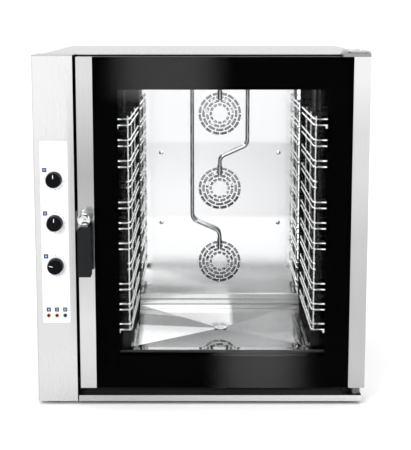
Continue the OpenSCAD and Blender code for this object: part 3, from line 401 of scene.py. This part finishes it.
def knuckle_shade(nt, at):
    """Painted reflection of the room's dark parts in the polished knuckle, and painted shade on its collar.
    """
    x, z = math_node(nt, "SUBTRACT", at[0], HANDLE_X), math_node(nt, "SUBTRACT", at[2], HANDLE_Z)

    def distance(dx, dz):
        squares = [math_node(nt, "POWER", math_node(nt, "ADD", v, d), 2) for v, d in ((x, dx), (z, dz))]
        return math_node(nt, "SQRT", total(nt, *squares), 0)

    top = product(nt, band(nt, distance(0, 0), 0.0135, 0.0013, 0.0012), ramp(nt, z, 0, 0.90, 0.0045, 0.0075))
    low = product(nt, band(nt, distance(-0.0030, 0.0200), 0.0130, 0.0016, 0.0014),
                  ramp(nt, x, 0, 0.95, -0.0080, -0.0030))
    patch = product(nt, band(nt, x, 0.0035, 0.0020, 0.0040), band(nt, z, 0.0010, 0.0010, 0.0030), 0.5)
    dark = math_node(nt, "MAXIMUM", math_node(nt, "MAXIMUM", top, low), patch)
    return product(nt, math_node(nt, "SUBTRACT", 1, dark), ramp(nt, at[1], 1, 0.75, -0.4400, -0.4390))


def knuckle_duller(nt, at):
    return ramp(nt, at[1], 0, 0.4, -0.4400, -0.4390)


def lamp_shade(nt, at, colour):
    return blend_colour(nt, ramp(nt, at[0], 0, 1, -0.3935, -0.3925), colour, (0.006, 0.055, 0.030))


PALE, PALER = grey(0.66), (0.61, 0.61, 0.61)
FINE_Z, FINE_Y, FINE_X = (700, 700, 6), (700, 6, 700), (6, 700, 700)
BRUSHED = steel("brushed_steel", PALE, PALER, (0.22, 0.28), FINE_Z)
BRUSHED_Y = steel("brushed_steel_top", grey(0.56), grey(0.53), (0.22, 0.28), FINE_Y)
COLUMN = steel("column_steel", grey(0.84), grey(0.82), (0.24, 0.27), FINE_Z, 0.03,
               shade=column_shade)
LEFT_STRIP = steel("left_strip_steel", grey(0.82), grey(0.78), (0.12, 0.18), FINE_Z, shade=left_strip_shade)
RIGHT_STRIP = steel("right_strip_steel", grey(0.92), grey(0.88), (0.16, 0.22), FINE_Z,
                    shade=right_strip_shade)
GUTTER = steel("gutter_steel", grey(0.72), grey(0.66), (0.2, 0.26), FINE_X, shade=gutter_shade)
POLISHED = steel("polished_steel", grey(0.86), grey(0.82), (0.06, 0.10), (4, 60, 60), 0.04)
FRAME = steel("frame_steel", grey(0.80), grey(0.75), (0.08, 0.14), FINE_Z, shade=frame_shade)
SHELL = steel("cavity_steel", grey(0.86), grey(0.82), (0.05, 0.08), (4, 60, 60), 0.03,
              shade=shell_shade)
FLOOR_STEEL = steel("floor_steel", grey(0.98), grey(0.95), (0.010, 0.022), (40, 5, 40), 0.02,
                    shade=floor_shade, duller=floor_duller)
BAFFLE = steel("baffle_steel", (0.96, 0.96, 0.965), (0.94, 0.94, 0.945), (0.12, 0.16), (500, 500, 5), 0.02,
               shade=baffle_shade, duller=baffle_duller)
INNER_FRAME = steel("inner_frame_steel", grey(0.82), grey(0.77), (0.10, 0.16), FINE_Z,
                    shade=inner_frame_shade)
HINGE = steel("hinge_steel", grey(0.50), grey(0.40), (0.2, 0.3), (60, 60, 300), 0.1,
              shade=hinge_shade)
LOW_HINGE = steel("lower_hinge_steel", grey(0.20), grey(0.06), (0.2, 0.35), (150, 150, 150), 0.2)
BEAD = steel("mouth_bead_steel", grey(0.86), grey(0.80), (0.08, 0.14), (90, 90, 6), shade=bead_shade)
WIRE = steel("wire_steel", grey(0.93), (0.87, 0.87, 0.88), (0.20, 0.28), (90, 90, 90), 0.05,
             shade=wire_shade)
PIPE = steel("pipe_steel", (0.48, 0.48, 0.49), (0.40, 0.40, 0.41), (0.08, 0.13), (120, 120, 120), 0.05)
SCREW = steel("screw_steel", grey(0.90), grey(0.84), (0.30, 0.40), (200, 200, 200), 0.05)
FAN = steel("fan_steel", (0.72, 0.72, 0.73), (0.55, 0.55, 0.56), (0.30, 0.45), (80, 80, 80), 0.1)
HEATER = steel("heater_steel", (0.10, 0.09, 0.085), (0.05, 0.047, 0.045), (0.4, 0.55), (120, 120, 120), 0.2)
ZINC = steel("galvanised_steel", (0.62, 0.64, 0.66), (0.48, 0.50, 0.53), (0.35, 0.5), (40, 40, 40), 0.15)
CHROME = steel("chrome", (0.92, 0.93, 0.95), (0.88, 0.89, 0.91), (0.03, 0.06), (30, 30, 30), 0.03)
# the knuckle's chrome is darker than the other chrome, as painted shade
KNUCKLE = steel("knuckle_chrome", (0.74, 0.75, 0.76), (0.70, 0.71, 0.72), (0.06, 0.10), (30, 30, 30), 0.03,
                shade=knuckle_shade, duller=knuckle_duller)
# the boss's chrome is darker, as painted shade, and duller than the other chrome
BOSS = steel("boss_chrome", (0.34, 0.35, 0.36), (0.28, 0.29, 0.30), (0.42, 0.50), (60, 60, 60), 0.05)
# the door bars are near-black, which gives the dark line above the door
BAR = plastic("near_black_bars", (0.012, 0.012, 0.013), (0.008, 0.008, 0.009), (0.5, 0.6), 300, specular=0.15)
RUBBER = plastic("rubber", (0.030, 0.030, 0.031), (0.018, 0.018, 0.019), (0.55, 0.75), 500, 0.3, 0.0002)
GRIP = plastic("grip_plastic", (0.013, 0.0145, 0.0155), (0.010, 0.0115, 0.012), (0.38, 0.48), 1400, 0.15,
               specular=0.06)
BLACK = plastic("black_plastic", (0.0028, 0.0034, 0.0052), (0.0020, 0.0025, 0.0040), (0.30, 0.40), 900,
                specular=0.05)
PRINT = plastic("black_print", grey(0.001), (0.0006, 0.0006, 0.0007), (0.3, 0.4), 200, 0.02, specular=0.0)
FASCIA = plastic("white_fascia", (0.90, 0.905, 0.91), (0.88, 0.885, 0.89), (0.30, 0.42), 600, 0.06,
                 specular=0.3)
WHITE = plastic("white_plastic", grey(0.86), grey(0.81), (0.35, 0.48), 400)
GREY = plastic("grey_plastic", (0.24, 0.26, 0.28), (0.19, 0.21, 0.23), (0.4, 0.55), 400)
BEIGE = plastic("beige_plastic", (0.68, 0.62, 0.48), (0.60, 0.55, 0.42), (0.4, 0.55), 400)
MOTOR = plastic("motor_paint", (0.10, 0.10, 0.11), (0.07, 0.07, 0.08), (0.4, 0.6), 300, 0.25, 0.0003)
WOOL = plastic("insulation", (0.62, 0.55, 0.34), (0.48, 0.42, 0.24), (0.85, 0.98), 260, 0.8, 0.002)
LENS = plastic("lamp_lens", (0.030, 0.004, 0.003), (0.022, 0.003, 0.003), (0.14, 0.20), 200, 0.05,
               specular=0.15,
               shade=lamp_shade)
NAVY = plastic("navy_print", (0.018, 0.042, 0.150), (0.014, 0.035, 0.130), (0.35, 0.45), 700, 0.03)
INK = plastic("pale_blue_print", (0.20, 0.24, 0.42), (0.17, 0.21, 0.38), (0.35, 0.45), 700, 0.03)
SHADE_INK = plastic("pale_grey_print", (0.66, 0.67, 0.70), (0.60, 0.61, 0.64), (0.35, 0.45), 700, 0.03)
RED_INK = plastic("red_ring", (0.30, 0.055, 0.012), (0.25, 0.045, 0.010), (0.3, 0.4), 500, 0.05,
                  specular=0.1)
GREEN_INK = plastic("green_ring", (0.008, 0.070, 0.045), (0.006, 0.055, 0.035), (0.3, 0.4), 500, 0.05,
                    specular=0.1)
PINK_INK = plastic("pale_red_print", (0.78, 0.48, 0.30), (0.72, 0.43, 0.26), (0.35, 0.45), 700, 0.03)
MINT_INK = plastic("pale_green_print", (0.38, 0.58, 0.50), (0.33, 0.52, 0.45), (0.35, 0.45), 700, 0.03)
POINTER = plastic("pointer_inlay", (0.80, 0.81, 0.82), (0.74, 0.75, 0.76), (0.4, 0.5), 500, 0.04)
# two painted reflections on the outer glass: one at the top towards the left, one at the bottom towards the
# right
OUTER_GLASS = pane("tinted_glass", (0.985, 0.987, 0.988), 0.02,
                   [((-0.095, 0.060, 0.130), (0.98, 0.085, 0.05), 1.25),
                    ((0.166, 0.030, 0.140), (0.05, 0.085, 0.04), 1.25)])
INNER_GLASS = pane("clear_glass", (0.99, 0.992, 0.992), 0.15)

by_slot = {"galvanised_steel": ZINC, "brushed_steel": BRUSHED, "polished_steel": POLISHED,
           "wire_steel": WIRE, "fan_steel": FAN, "heater_steel": HEATER, "chrome": CHROME,
           "motor_paint": MOTOR, "insulation": WOOL, "rubber": RUBBER, "white_fascia": FASCIA,
           "white_plastic": WHITE, "grey_plastic": GREY, "beige_plastic": BEIGE, "black_plastic": BLACK,
           "black_print": PRINT, "lens": LENS, "tinted_glass": OUTER_GLASS, "clear_glass": INNER_GLASS}
own = {"fan_baffle": BAFFLE, "top_panel": BRUSHED_Y, "control_column": COLUMN,
       "door_left_profile": LEFT_STRIP, "door_right_profile": RIGHT_STRIP, "drip_gutter": GUTTER,
       "front_frame": FRAME, "cavity_shell": SHELL, "cavity_floor": FLOOR_STEEL,
       "door_inner_frame": INNER_FRAME, "top_hinge_bracket": HINGE, "bottom_hinge_bracket": LOW_HINGE,
       "hinge_sockets": HINGE, "door_bars": BAR, "handle_grip": GRIP, "handle_boss": BOSS,
       "upper_water_pipe": PIPE, "middle_water_pipe": PIPE, "lower_water_pipe": PIPE,
       "baffle_screws": SCREW}
for part in frame["record"]["subparts"]:
    obj = nodes[part["node"]]
    obj.data.materials.clear()
    obj.data.materials.append(own.get(part["node"], by_slot[part["material_slot"]]))


# ---------------------------------------------------------------- soft edges on folded and moulded pieces
def soften(name, width, segments=2):
    flat = nodes[name].modifiers.new("flat", "DECIMATE")
    flat.decimate_type = "DISSOLVE"
    flat.angle_limit = math.radians(1)
    edge = nodes[name].modifiers.new("edge", "BEVEL")
    edge.width = width
    edge.segments = segments
    edge.limit_method = "ANGLE"
    edge.angle_limit = math.radians(50)
    edge.harden_normals = False


soften("handle_grip", 0.0025, 3)
for name in ("door_left_profile", "door_right_profile", "control_column", "drip_gutter"):
    soften(name, 0.0006)


# ---------------------------------------------------------------- mesh pieces
def piece(name, bm, material, body, smooth=35):
    bmesh.ops.remove_doubles(bm, verts=bm.verts, dist=1e-6)
    bmesh.ops.recalc_face_normals(bm, faces=bm.faces)
    for f in bm.faces:
        f.smooth = True
    mesh = bpy.data.meshes.new(name)
    bm.to_mesh(mesh)
    bm.free()
    mesh.set_sharp_from_angle(angle=math.radians(smooth))
    obj = bpy.data.objects.new(name, mesh)
    obj.data.materials.append(material)
    scene.collection.objects.link(obj)
    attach(obj, body)
    return obj


def lathe(bm, centre, profile, steps=48, axis="y"):
    """Turn (radius,
    distance) pairs about an axis through centre; both ends of the profile are on the axis."""
    rings = []
    for r, d in profile:
        turns = [0] if r == 0 else [2 * math.pi * k / steps for k in range(steps)]
        ring = []
        for t in turns:
            u, v = r * math.cos(t), r * math.sin(t)
            local = {"x": (d, u, v), "y": (u, d, v), "z": (u, v, d)}[axis]
            ring.append(bm.verts.new(Vector(centre) + Vector(local)))
        rings.append(ring)
    for a, b in zip(rings, rings[1:]):
        for k in range(steps):
            n = (k + 1) % steps
            loop = [a[k % len(a)], a[n % len(a)], b[n % len(b)], b[k % len(b)]]
            bm.faces.new(list(dict.fromkeys(loop)))


def plate(bm, outline, near, far):
    """A flat plate seen from the front: (x, z) points, from y = near to y = far."""
    front = [bm.verts.new((x, near, z)) for x, z in outline]
    back = [bm.verts.new((x, far, z)) for x, z in outline]
    bm.faces.new(front)
    bm.faces.new(back[::-1])
    for k in range(len(front)):
        n = (k + 1) % len(front)
        bm.faces.new([front[n], front[k], back[k], back[n]])


def box_outline(x, z, width, height, corner=0.0, turn=0.0):
    """A rectangle round (0, 0) with round corners, turned and then moved to (x, z)."""
    points = []
    for quarter, (sx, sz) in enumerate(((1, 1), (-1, 1), (-1, -1), (1, -1))):
        steps = 5 if corner else 1
        for k in range(steps):
            a = math.radians(90 * quarter + (90 * k / (steps - 1) if corner else 0))
            px = sx * (width / 2 - corner) + corner * math.cos(a)
            pz = sz * (height / 2 - corner) + corner * math.sin(a)
            points.append((x + px * math.cos(turn) - pz * math.sin(turn),
                           z + px * math.sin(turn) + pz * math.cos(turn)))
    return points


def arc_outline(x, z, inner, outer, start, end, steps=24):
    """A band round (x, z) between two angles in degrees, clockwise from straight up. Each radius is a pair:
    at the start and at the end."""
    def point(radii, k):
        a = math.radians(start + (end - start) * k / steps)
        r = radii[0] + (radii[1] - radii[0]) * k / steps
        return (x + r * math.sin(a), z + r * math.cos(a))
    return [point(outer, k) for k in range(steps + 1)] + [point(inner, k) for k in range(steps, -1, -1)]


# knobs: a turned cap with a rounded rim and a white inlay for its pointer
cap = [(0, -0.4128), (0.0150, -0.4131), (0.0185, -0.4129), (0.0200, -0.4121), (0.0207, -0.4105),
       (0.0212, -0.4075), (0.0222, -0.3935), (0.0225, -0.3915), (0.0225, -0.3900), (0.0221, -0.3894),
       (0.0215, -0.3893), (0.0190, -0.3893), (0.0190, -0.3905), (0, -0.3905)]
pointer_middle, pointer_width, pointer_length = 0.0105, 0.0019, 0.0105
for knob, z, turn in zip(("temperature", "timer", "humidity"), KNOB_ZS, (0, 0, 75)):
    bm = bmesh.new()
    lathe(bm, (KNOB_X, 0, z), cap, 64)
    lathe(bm, (KNOB_X, 0, z), [(0, -0.3906), (0.003, -0.3906), (0.003, -0.3700), (0, -0.3700)], 24)
    obj = piece(knob + "_knob_cap", bm, BLACK, knob + "_control")
    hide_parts(knob + "_knob")
    bm = bmesh.new()
    a = math.radians(turn)
    plate(bm, box_outline(KNOB_X - pointer_middle * math.sin(a), z + pointer_middle * math.cos(a),
                          pointer_width, pointer_length, 0.0008, a), -0.4135, -0.4127)
    piece(knob + "_pointer", bm, POINTER, knob + "_control")

# printed marks on the fascia: ticks round the knobs, generic symbols and frames round the lamps
tick_r, tick_size = 0.0285, (0.0016, 0.0028)
bm = bmesh.new()
for z, marks in ((KNOB_ZS[0], 13), (KNOB_ZS[1], 11)):
    for k in range(marks):
        a = math.radians(300 * k / (marks - 1))
        plate(bm, box_outline(KNOB_X + tick_r * math.sin(a), z + tick_r * math.cos(a), *tick_size, 0, -a),
              FASCIA_Y - INK_THICK, FASCIA_Y)
plate(bm, box_outline(KNOB_X, KNOB_ZS[2] + tick_r, *tick_size), FASCIA_Y - INK_THICK, FASCIA_Y)
piece("fascia_ticks", bm, INK, "oven")
bm = bmesh.new()
plate(bm, arc_outline(KNOB_X, KNOB_ZS[2], (0.0262, 0.0262), (0.0268, 0.0310), 60, 200),
      FASCIA_Y - INK_THICK, FASCIA_Y)
piece("humidity_wedge", bm, SHADE_INK, "oven")

squares = [(-0.4310, z + 0.0265) for z in KNOB_ZS] + [(x, 0.2775) for x in LAMP_XS]
bm = bmesh.new()
for x, z in squares:
    plate(bm, box_outline(x, z, 0.0125, 0.0125, 0.0015), FASCIA_Y - INK_THICK, FASCIA_Y)
piece("fascia_symbols", bm, NAVY, "oven")
bm = bmesh.new()
near, far = FASCIA_Y - INK_THICK * 2, FASCIA_Y - INK_THICK / 2
for x, z in (squares[0], squares[5]):
    for row in (-0.0022, 0, 0.0022):
        plate(bm, box_outline(x, z + row, 0.0060, 0.0007), near, far)
for x, z in (squares[1], squares[4]):
    plate(bm, arc_outline(x, z, (0.0026, 0.0026), (0.0032, 0.0032), 8, 352), near, far)
    plate(bm, box_outline(x, z + 0.0010, 0.0007, 0.0022), near, far)
for x, z in (squares[2], squares[3]):
    plate(bm, [(x, z + 0.0034), (x - 0.0017, z - 0.0003), (x - 0.0016, z - 0.0017), (x, z - 0.0026),
               (x + 0.0016, z - 0.0017), (x + 0.0017, z - 0.0003)], near, far)
piece("symbol_marks", bm, SHADE_INK, "oven")

bezel_y = FASCIA_Y - 0.001
for i, x in enumerate(LAMP_XS):
    ring, line = (GREEN_INK, MINT_INK) if i == 2 else (RED_INK, PINK_INK)
    bm = bmesh.new()
    lathe(bm, (x, 0, LAMP_Z), [(0.0029, bezel_y - 0.0036), (0.0034, bezel_y - 0.0040), (0.0044,
    bezel_y - 0.0034),
                              (0.0050, bezel_y - 0.0018), (0.0051, bezel_y), (0.0029, bezel_y),
                              (0.0029, bezel_y - 0.0036)], 32)
    piece("lamp_ring_%d" % (i + 1), bm, ring, "oven")
    bm = bmesh.new()
    for sx, sz, w, h in ((0, 0.0070, 0.0152, 0.0013), (0, -0.0070, 0.0152, 0.0013), (0.0070, 0, 0.0013,
    0.0127),
                         (-0.0070, 0, 0.0013, 0.0127)):
        plate(bm, box_outline(x + sx, LAMP_Z + sz, w, h), bezel_y - 0.0001, bezel_y)
    piece("lamp_frame_%d" % (i + 1), bm, line, "oven")

# handle: a turned chrome knuckle over the boss
bm = bmesh.new()
lathe(bm, (HANDLE_X, 0, HANDLE_Z),
      [(0, -0.4446), (0.0050, -0.4444), (0.0100, -0.4439), (0.0140, -0.4430), (0.0164, -0.4416),
       (0.0178, -0.4396), (0.0184, -0.4370), (0.0184, -0.4200), (0.0174, -0.4190), (0.0174, -0.4170),
       (0.0184, -0.4160), (0.0184, -0.3940), (0.0192, -0.3925), (0.0198, -0.3900), (0.0196, -0.3880),
       (0, -0.3880)], 64)
piece("handle_knuckle", bm, KNUCKLE, "handle")

# rolled edges at the sides of the cavity's mouth
bm = bmesh.new()
for side in (-0.3262, 0.3262):
    lathe(bm, (CAVITY_X + side, FRONT + 0.0685, 0),
          [(0, 0.1400), (0.0030, 0.1402), (0.0040, 0.1412), (0.0040, 0.9028), (0.0030, 0.9038), (0, 0.9040)],
          20, "z")
piece("mouth_beads", bm, BEAD, "oven")

# domed screw heads on the hinge plate
bm = bmesh.new()
dome = [(0, 0.0022), (0.0022, 0.0020), (0.0038, 0.0013), (0.0046, 0.0004), (0.0047, -0.0004), (0, -0.0004)]
for x, y in ((0.418, -0.285), (0.446, -0.285), (0.432, -0.235)):
    lathe(bm, (x, y, HINGE_TOP), dome, 24, "z")
piece("hinge_plate_screws", bm, CHROME, "oven")

# rivets along the baffle's edges
bm = bmesh.new()
for side in (-0.254, 0.254):
    for z in (0.201, 0.401, 0.594, 0.797):
        lathe(bm, (CAVITY_X + side, BAFFLE_Y, z),
              [(0, -0.0010), (0.0014, -0.0008), (0.0020, 0.0002), (0, 0.0002)], 16)
piece("baffle_rivets", bm, HEATER, "oven")

# rear: pressed hoods over the air slots, and the water inlet's thread
slots, slot_pitch, lowest_slot, half_slot = 12, 0.0238, 0.281, 0.082
hood = [(0, 0.0052), (0.0030, 0.0048), (0.0056, 0.0030), (0.0068, 0), (0.0070, -0.0052), (0.0060, -0.0052),
        (0.0058, -0.0003), (0.0048, 0.0022), (0.0026, 0.0038), (0, 0.0041)]
bm = bmesh.new()
for side in (-0.192, 0.192):
    for i in range(slots):
        z = lowest_slot + i * slot_pitch
        ends = [[bm.verts.new((CAVITY_X + side + end, REAR + y, z + h)) for y, h in hood]
                for end in (-half_slot, half_slot)]
        bm.faces.new(ends[0])
        bm.faces.new(ends[1][::-1])
        for k in range(len(hood)):
            n = (k + 1) % len(hood)
            bm.faces.new([ends[0][n], ends[0][k], ends[1][k], ends[1][n]])
piece("rear_air_hoods", bm, BRUSHED, "oven")
bm = bmesh.new()
thread = [(0.0125, 0.4172)]
for y in (0.4182 + k * 0.002 for k in range(9)):
    thread += [(0.0135, y), (0.0128, y + 0.001)]
lathe(bm, (0.250, 0, 0.130), thread + [(0.0095, 0.4370), (0.0095, 0.4172), (0.0125, 0.4172)], 40)
piece("inlet_thread", bm, WHITE, "oven")

# ---------------------------------------------------------------- floor
bm = bmesh.new()
bmesh.ops.create_grid(bm, x_segments=8, y_segments=8, size=30)
mesh = bpy.data.meshes.new("floor")
bm.to_mesh(mesh)
bm.free()
floor = bpy.data.objects.new("floor", mesh)
scene.collection.objects.link(floor)
floor_mat, nt, s = new_material("floor")
pale = blend_colour(nt, noise(nt, (2, 2, 2)), grey(0.80), grey(0.82))
depth = axes(nt, "Object")[1]
away = math_node(nt, "MULTIPLY", ramp(nt, depth, 0, 1, -0.7, -1.3), ramp(nt, depth, 0.05, 1, -6.5, -4.5))
nt.links.new(blend_colour(nt, away, pale, grey(0.66)), s.inputs["Base Color"])
s.inputs["Roughness"].default_value = 0.9
s.inputs["Specular IOR Level"].default_value = 0.0
floor.data.materials.append(floor_mat)
